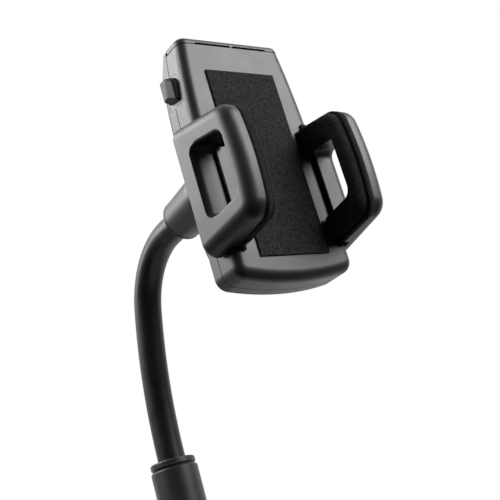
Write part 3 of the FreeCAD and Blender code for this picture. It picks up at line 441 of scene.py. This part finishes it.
def cut(piece, block, how="DIFFERENCE"):
    """Boolean of a piece with a block, which is used up."""
    knife = piece.modifiers.new("cut", "BOOLEAN")
    knife.operation = how
    knife.solver = "EXACT"
    knife.object = block
    settle(piece)
    bpy.data.objects.remove(block)


def shade_round(piece, material):
    """One material all over, with smooth shading."""
    piece.data.materials.clear()
    piece.data.materials.append(material)
    for face in piece.data.polygons:
        face.use_smooth = True


def shade_by_angle(piece, material):
    """Smooth shading that keeps true flats flat and sharp edges sharp."""
    shade_round(piece, material)
    piece.data.set_sharp_from_angle(angle=SHARP_FROM)
    even = piece.modifiers.new("flat_faces", "WEIGHTED_NORMAL")
    even.keep_sharp = True
    settle(piece)


print("edges stay sharp from", round(math.degrees(SHARP_FROM)), "degrees")

# %% [markdown]
# A jaw is a leaning frame round a window. From outside, the window's sill dips towards the outer face,
# and at its inner end a thin black bar of felt paints the shadow in the slot where the jaw comes out of
# the body.
# The frame could be modelled anew, but only its sill differs from the solid, so only the sill is cut.
# The block that lowers the sill has the window's own side walls and round corners,
# and it leans as the jaw does. The right jaw is the left one turned half round.

# %% Jaws
JAW_Z = -11.6
JAW_LEAN = math.radians(5.6)
LEAN_X = -28.4
WINDOW_HALF = 17.16
WINDOW_TAPER = 0.1486
# Each station of the sill gives an x and the y that the sill has there.
SILL = ((-28.0, -0.8), (-36.4, -0.25), (-38.2, 0.2), (-41.0, 2.6))
SILL_FRONT_Y = -9.0
SILL_CORNER_R = 4.0


def window_half(y):
    """Half height of a window in mm, which grows towards the root."""
    return WINDOW_HALF + WINDOW_TAPER * y


def sill_ring(x, back_y):
    """Rounded lower end of the window's outline at one x, leaning with the jaw."""
    centre_y = back_y - SILL_CORNER_R
    upper = corner_arc(centre_y, window_half(centre_y) - SILL_CORNER_R, SILL_CORNER_R, 0)
    upper.append((SILL_FRONT_Y, window_half(SILL_FRONT_Y)))
    ring = upper + [(y, -z) for y, z in reversed(upper)]
    lean = Matrix.Rotation(JAW_LEAN, 3, "Z")
    pivot = Vector((LEAN_X, 0, JAW_Z))
    return [pivot + lean @ Vector((x - LEAN_X, y, z)) for y, z in ring]


def jaw_shell(side):
    """Jaw with its window's sill lowered on the outside."""
    hand = 1 if side == "left" else -1
    rings = []
    for x, back_y in SILL:
        rings.append([on_cradle(hand * p.x, p.y, JAW_Z + hand * (p.z - JAW_Z))
                      for p in sill_ring(x, back_y)])
    jaw = plain_copy(side + "_jaw_shell", side + "_jaw")
    cut(jaw, ring_block("sill", *rings))
    shade_by_angle(jaw, FINISH["jaw_plastic"])
    return jaw


for side in ("left", "right"):
    jaw = jaw_shell(side)
    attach(jaw, side + "_jaw")
    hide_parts(side + "_jaw")
    print(jaw.name, len(jaw.data.polygons), "faces")

# %% [markdown]
# The release button is a small moulded cap on the left wall. Its outside has a ridge,
# its front slopes away in a dark bevel, and its foot slants up towards the back.
# So few faces are quickest written down as corners, and a Bevel modifier then rounds every edge.
# The guided block behind the cap is kept from the solid, cut off just below the wall's face.

# %% Release button
BUTTON_ROUND = 0.7 * MM
BUTTON_ROUND_STEPS = 4
CAP_FOOT_X = -29.5
OLD_CAP_AROUND = ((0, 28), (20, 28), (20, 52), (0, 52))
WALL_X = -31.13
WALL_Z = 32.0
WALL_SLOPE = 0.084
UNDER_COLLAR = Vector((0.2 * MM, 0, 0))
BUTTON_CORNERS = {
    "foot_front": (CAP_FOOT_X, 6.0, 33.9), "foot_low": (CAP_FOOT_X, 7.6, 32.4),
    "foot_mid": (CAP_FOOT_X, 11.6, 32.7), "foot_back": (CAP_FOOT_X, 15.7, 35.0),
    "brow_front": (CAP_FOOT_X, 5.6, 41.4), "brow_high": (CAP_FOOT_X, 6.8, 44.6),
    "top_mid": (CAP_FOOT_X, 9.6, 46.4), "top_back": (CAP_FOOT_X, 15.7, 46.8),
    "bevel_low": (-32.9, 7.3, 34.0), "bevel_high": (-32.9, 7.0, 43.2),
    "ridge_low": (-34.2, 12.0, 36.6), "ridge_high": (-34.2, 10.4, 45.8),
    "back_low": (-33.9, 15.5, 36.4), "back_high": (-33.9, 15.4, 46.2),
}
BUTTON_FACES = (
    ("foot_front", "brow_front", "bevel_high", "bevel_low"),
    ("brow_front", "brow_high", "bevel_high"),
    ("brow_high", "top_mid", "ridge_high", "bevel_high"),
    ("top_mid", "top_back", "back_high", "ridge_high"),
    ("bevel_low", "bevel_high", "ridge_high", "ridge_low"),
    ("ridge_low", "ridge_high", "back_high", "back_low"),
    ("back_low", "back_high", "top_back", "foot_back"),
    ("foot_front", "bevel_low", "foot_low"),
    ("foot_low", "bevel_low", "ridge_low", "foot_mid"),
    ("foot_mid", "ridge_low", "back_low", "foot_back"),
    ("foot_front", "foot_low", "foot_mid", "foot_back", "top_back", "top_mid", "brow_high", "brow_front"),
)


def on_wall(y, z):
    """Point just inside the left wall's leaning face."""
    return on_cradle(WALL_X + WALL_SLOPE * (z - WALL_Z), y, z)


def button_cap():
    """Ridged cap with rounded edges on the guided block of the solid."""
    shape = bmesh.new()
    corner = {name: shape.verts.new(on_cradle(*at)) for name, at in BUTTON_CORNERS.items()}
    for names in BUTTON_FACES:
        shape.faces.new([corner[name] for name in names])
    cap = new_piece("button_cap", shape)
    soft = cap.modifiers.new("round", "BEVEL")
    soft.width = BUTTON_ROUND
    soft.segments = BUTTON_ROUND_STEPS
    soft.limit_method = "NONE"
    settle(cap)
    button = plain_copy("release_button_cap", "release_button")
    cut(button, ring_block("old_cap", [on_cradle(2 * WALL_X, y, z) for y, z in OLD_CAP_AROUND],
                           [on_wall(y, z) + UNDER_COLLAR for y, z in OLD_CAP_AROUND]))
    cut(button, cap, "UNION")
    shade_by_angle(button, FINISH["button_plastic"])
    return button


button = button_cap()
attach(button, "button")
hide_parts("release_button")
print(button.name, len(button.data.polygons), "faces")

# %% [markdown]
# Behind the cap the wall has an opening with a little room round the button.
# Left open, that room shows as dark crescents. A tighter opening would mend it too,
# but the opening belongs to the shell's solid, so a plate of the shell's plastic fills it instead.
# The plate is flush with the wall and rides with the button, so a press moves it inwards.

# %% Button plate
COLLAR_LOW = (5.18, 31.78)
COLLAR_HIGH = (16.22, 47.22)
COLLAR_R = 1.6
COLLAR_BROW_R = 4.4
COLLAR_INNER_X = -28.6


def button_collar():
    """Plate behind the cap that fills the wall's opening, flush with the wall."""
    (y0, z0), (y1, z1) = COLLAR_LOW, COLLAR_HIGH
    r, brow = COLLAR_R, COLLAR_BROW_R
    ring = corner_arc(y1 - r, z1 - r, r, 0) + corner_arc(y0 + brow, z1 - brow, brow, 1)
    ring += corner_arc(y0 + r, z0 + r, r, 2) + corner_arc(y1 - r, z0 + r, r, 3)
    collar = ring_block("button_collar", [on_wall(y, z) for y, z in ring],
                        [on_cradle(COLLAR_INNER_X, y, z) for y, z in ring])
    shade_by_angle(collar, FINISH["shell_plastic"])
    return collar


collar = button_collar()
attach(collar, "button")
print(collar.name, len(collar.data.polygons), "faces")

# %% [markdown]
# Two small springs give way when the button is pressed: a coil behind it and a leaf beside the pawl.
# Left rigid, they would run into the parts that press on them.
# Here each is copied from its solid, shaded by angle and baked in place,
# and the copy stands for the solid.

# %% Copies of the springs
SPRINGS = (("button_coil", "button_spring", "button"), ("pawl_leaf", "pawl_spring", "pawl"))

for name, solid, presser in SPRINGS:
    spring = plain_copy(name, solid)
    shade_by_angle(spring, FINISH[SLOT_OF[solid]])
    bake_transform(spring)
    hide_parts(solid)
    print(spring.name, "gives way to", presser)

# %% [markdown]
# The front panel and the jaw facings are dark felt, and felt is a mat of loose fibres.
# Its colour is a fine mottle at two scales, its surface is rough all over,
# and a little sheen stands for the fibre ends that catch light at a glancing angle.
# Real hairs could do this too, but at this distance they would cost much and show little.

# %% Recipe for felt
FELT_SPECULAR = 0.15
FELT_ROUGH = 0.95
SHEEN_ROUGH = 0.6
SHEEN_TINT = (0.6, 0.6, 0.62, 1)
MOTTLE_RANGE = (0.17, 0.36)


def felt_finish(name, dark, light, mottle, fibre, depth, sheen):
    """Fibre mat: mottled colour, deep soft bump and a touch of sheen."""
    material, tree, shader, place = new_finish(name, 0.0, FELT_SPECULAR)
    shader.inputs["Roughness"].default_value = FELT_ROUGH
    shader.inputs["Sheen Weight"].default_value = sheen
    shader.inputs["Sheen Roughness"].default_value = SHEEN_ROUGH
    shader.inputs["Sheen Tint"].default_value = SHEEN_TINT
    clump = node(tree, "TexNoise", Scale=mottle, Detail=3.0, Roughness=0.7, Distortion=0.6)
    thread = node(tree, "TexNoise", Scale=fibre, Detail=2.0, Distortion=1.5)
    for texture in (clump, thread):
        tree.links.new(place, texture.inputs["Vector"])
    mat = tree.nodes.new("ShaderNodeMath")
    mat.operation = "MULTIPLY"
    tree.links.new(clump.outputs["Fac"], mat.inputs[0])
    tree.links.new(thread.outputs["Fac"], mat.inputs[1])
    skin = ramp(tree, mat.outputs["Value"], *MOTTLE_RANGE, dark, light)
    tree.links.new(skin, shader.inputs["Base Color"])
    bump = node(tree, "Bump", Strength=1.0, Distance=depth)
    tree.links.new(mat.outputs["Value"], bump.inputs["Height"])
    tree.links.new(bump.outputs["Normal"], shader.inputs["Normal"])
    return material


PANEL_FELT = felt_finish("panel_felt", (0.002, 0.002, 0.002), (0.042, 0.042, 0.042),
                         900, 2600, 0.0005, 0.06)
# The jaw felt is the panel's felt with its light colour halved, as painted shade on the facings.
JAW_FELT_SHADED = felt_finish("jaw_felt_shaded", (0.002, 0.002, 0.002), (0.022, 0.022, 0.022),
                       900, 2600, 0.0005, 0.05)
print("felts", PANEL_FELT.name, JAW_FELT_SHADED.name)

# %% [markdown]
# The front panel is a cut sheet of felt, stuck flat. A box would do for its size,
# but a real cut edge is soft and the face is never quite level.
# So the panel starts as a fine grid, gets its thickness from Solidify and its soft edge from Bevel,
# and each point of its face then rises or sinks a little by a smooth noise.

# %% Felt panel
FELT_CELL = 0.0007
FELT_EDGE = 0.00028
FELT_EDGE_STEPS = 3
FELT_UNEVEN = 0.00006
FELT_WAVE = 260.0


def felt_panel():
    """Sheet of felt where the front pad's solid is."""
    low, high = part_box("front_pad")
    size = high - low
    shape = bmesh.new()
    bmesh.ops.create_grid(shape, x_segments=round(size.x / FELT_CELL),
                          y_segments=round(size.z / FELT_CELL), size=0.5)
    for point in shape.verts:
        across, along = point.co.x, point.co.y
        point.co = Vector((low.x + (across + 0.5) * size.x, high.y, low.z + (along + 0.5) * size.z))
    mesh = bpy.data.meshes.new("felt_panel")
    shape.to_mesh(mesh)
    shape.free()
    panel = bpy.data.objects.new("felt_panel", mesh)
    scene.collection.objects.link(panel)
    thick = panel.modifiers.new("thickness", "SOLIDIFY")
    thick.thickness = size.y
    thick.offset = 1.0
    soft = panel.modifiers.new("soft_edge", "BEVEL")
    soft.width = FELT_EDGE
    soft.segments = FELT_EDGE_STEPS
    settle(panel)
    for point in panel.data.vertices:
        share = (high.y - point.co.y) / size.y
        rise = FELT_UNEVEN * noise.noise(point.co * FELT_WAVE)
        point.co.y -= share * rise
    shade_round(panel, PANEL_FELT)
    return panel


panel = felt_panel()
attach(panel, "cradle")
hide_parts("front_pad")
print("felt panel", len(panel.data.polygons), "faces")

# %% [markdown]
# Each jaw is faced with a thick foam pad in a felt skin, glued to the jaw and rounded at its rims.
# The pad could be modelled face by face, but foam swells a little inside its skin,
# and a short cloth simulation with inner pressure gives that swelling by itself.
# The glued side is pinned, and no point may move further than a set limit.

# %% Foam that swells
FOAM_SWELL = 0.00035
FOAM_PRESSURE = 4.0
SWELL_FRAMES = 20


def swell(piece, pinned):
    """Cloth with inner pressure, stopped after a few frames, its moves held to a limit."""
    start = [point.co.copy() for point in piece.data.vertices]
    group = piece.vertex_groups.new(name="glued")
    group.add(pinned, 1.0, "ADD")
    cloth = piece.modifiers.new("swell", "CLOTH")
    cloth.settings.use_pressure = True
    cloth.settings.uniform_pressure_force = FOAM_PRESSURE
    cloth.settings.vertex_group_mass = "glued"
    cloth.settings.effector_weights.gravity = 0.0
    cloth.point_cache.frame_start = 1
    cloth.point_cache.frame_end = SWELL_FRAMES
    for step in range(1, SWELL_FRAMES + 1):
        scene.frame_set(step)
    settle(piece)
    for point, was in zip(piece.data.vertices, start):
        move = point.co - was
        if move.length > FOAM_SWELL:
            point.co = was + move.normalized() * FOAM_SWELL
    scene.frame_set(1)


print("foam may swell by", 1000 * FOAM_SWELL, "mm")

# %% [markdown]
# The felt skin goes on past the foam, and its edge laps round the front of the jaw.
# The strip could be drawn by hand, but the jaw's front is bowed and its corners are round.
# So the jaw's outline is worked out from its sizes, as points with outward directions,
# and a small square section is carried along it from point to point.

# %% Lap round a jaw
JAW_FRONT_Y = -25.0
JAW_BOW = 2.3
JAW_CORNER_R = 8.5
WINDOW_MARGIN = 11.7
BOW_STEPS = 12
LAP_ROOT_Y = -0.8
LAP_X = (26.4, 29.2)
LAP_T = 0.35
LAP_DEEP = 0.8


def jaw_outline():
    """Points (y, z) of a jaw's edge with outward directions, from the upper root round to the lower."""
    corner = Vector((JAW_FRONT_Y, window_half(JAW_FRONT_Y) + WINDOW_MARGIN))
    root = Vector((LAP_ROOT_Y, window_half(LAP_ROOT_Y) + WINDOW_MARGIN))
    top = (corner - root).normalized()
    bow_r = (corner.y ** 2 + JAW_BOW ** 2) / (2 * JAW_BOW)
    bow_half = math.asin(corner.y / bow_r)
    down = Vector((-math.sin(bow_half), -math.cos(bow_half)))
    turn = math.acos(top.dot(down))
    reach = JAW_CORNER_R * math.tan(turn / 2)
    start = corner - reach * top
    out = Vector((top.y, -top.x))
    centre = start - JAW_CORNER_R * out
    points = [(root, out), (start, out)]
    for i in range(1, CORNER_STEPS + 1):
        a = turn * i / CORNER_STEPS
        way = out * math.cos(a) + top * math.sin(a)
        points.append((centre + JAW_CORNER_R * way, way))
    bow_centre = JAW_FRONT_Y - JAW_BOW + bow_r
    last = points[-1][0].y
    for i in range(1, BOW_STEPS):
        z = last * (1 - i / BOW_STEPS)
        way = Vector((-math.sqrt(1 - (z / bow_r) ** 2), z / bow_r))
        points.append((Vector((bow_centre, 0)) + bow_r * way, way))
    flip = Vector((1, -1))
    mirrored = [(at * flip, way * flip) for at, way in reversed(points)]
    middle = (Vector((JAW_FRONT_Y - JAW_BOW, 0)), Vector((-1, 0)))
    return points + [middle] + mirrored


def front_lap(hand):
    """Edge of the felt that laps round a jaw's front."""
    x0, x1 = LAP_X
    section = ((x0, -LAP_DEEP), (x1, -LAP_DEEP), (x1, LAP_T), (x0, LAP_T))
    rings = []
    for at, way in jaw_outline():
        ring = []
        for x, off in section:
            y, z = at + off * way
            ring.append(on_cradle(-hand * x, y, JAW_Z + z))
        rings.append(ring)
    return ring_block("front_lap", *rings)


print("lap follows", len(jaw_outline()), "points of a jaw's edge")

# %% [markdown]
# The other strips of felt are straight. A thin black bar at the window's root paints the shadow in the
# jaw's slot, and small flat steps end the skin above and below.
# Stretched cubes would do, but blocks from rings keep all the strips alike,
# with their sizes in millimetres on the cradle.

# %% Shadow bar and steps of felt
SHADOW_BAR_X = (26.95, 28.0)
SHADOW_BAR_Y = (-2.0, -0.45)
FOAM_LAP = 0.6
# Each pair of steps gives the two x of its sides and how far it reaches from the jaw's middle.
ROOT_STEPS = (((25.8, 28.6), 30.6), ((21.6, 24.8), 26.3))
STEP_Y = (-1.2, -0.3)
STEP_FROM_Z = 20.0


def felt_bar(name, hand, across, deep, z_from, z_to):
    """Square bar of felt on a jaw's side, from one height to another."""
    (x0, x1), (y0, y1) = across, deep
    section = ((x0, y0), (x1, y0), (x1, y1), (x0, y1))
    ends = [[on_cradle(-hand * x, y, JAW_Z + z) for x, y in section] for z in (z_from, z_to)]
    return ring_block(name, *ends)


def felt_strips(hand):
    """All the strips of one facing."""
    reach = window_half(SHADOW_BAR_Y[0]) + FOAM_LAP
    # The first strip is the black bar that paints the shadow in the jaw's slot.
    strips = [felt_bar("shadow_bar", hand, SHADOW_BAR_X, SHADOW_BAR_Y, -reach, reach), front_lap(hand)]
    for across, far in ROOT_STEPS:
        for end in (1, -1):
            strips.append(felt_bar("root_step", hand, across, STEP_Y, end * STEP_FROM_Z, end * far))
    return strips


print("each facing gets", 2 + 2 * len(ROOT_STEPS), "strips")

# %% [markdown]
# Foam and strips now come together. The foam starts as a copy of its solid,
# which has large flat faces that can't bend, so Remesh first divides it evenly.
# It then swells, is subdivided once, and the strips are joined to it.

# %% Jaw facings
FOAM_VOXEL = 0.0008
CALM_FACTOR = 0.5
CALM_ROUNDS = 3
GLUED_WITHIN = 0.0006


def jaw_facing(name, solid, glued_side):
    """Foam pad grown from its solid, its glued side left flat."""
    facing = plain_copy(name, solid)
    even = facing.modifiers.new("even_mesh", "REMESH")
    even.mode = "VOXEL"
    even.voxel_size = FOAM_VOXEL
    calm = facing.modifiers.new("calm", "SMOOTH")
    calm.factor = CALM_FACTOR
    calm.iterations = CALM_ROUNDS
    settle(facing)
    glue_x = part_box(solid)[glued_side].x
    pinned = [p.index for p in facing.data.vertices if abs(p.co.x - glue_x) < GLUED_WITHIN]
    swell(facing, pinned)
    fine = facing.modifiers.new("fine", "SUBSURF")
    fine.levels = 1
    settle(facing)
    for strip in felt_strips(1 if glued_side == 0 else -1):
        cut(facing, strip, "UNION")
    shade_round(facing, JAW_FELT_SHADED)
    return facing


for side, glued_side in (("left", 0), ("right", 1)):
    facing = jaw_facing(side + "_jaw_facing", side + "_jaw_pad", glued_side)
    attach(facing, side + "_jaw")
    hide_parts(side + "_jaw_pad")
    print(facing.name, len(facing.data.polygons), "faces")
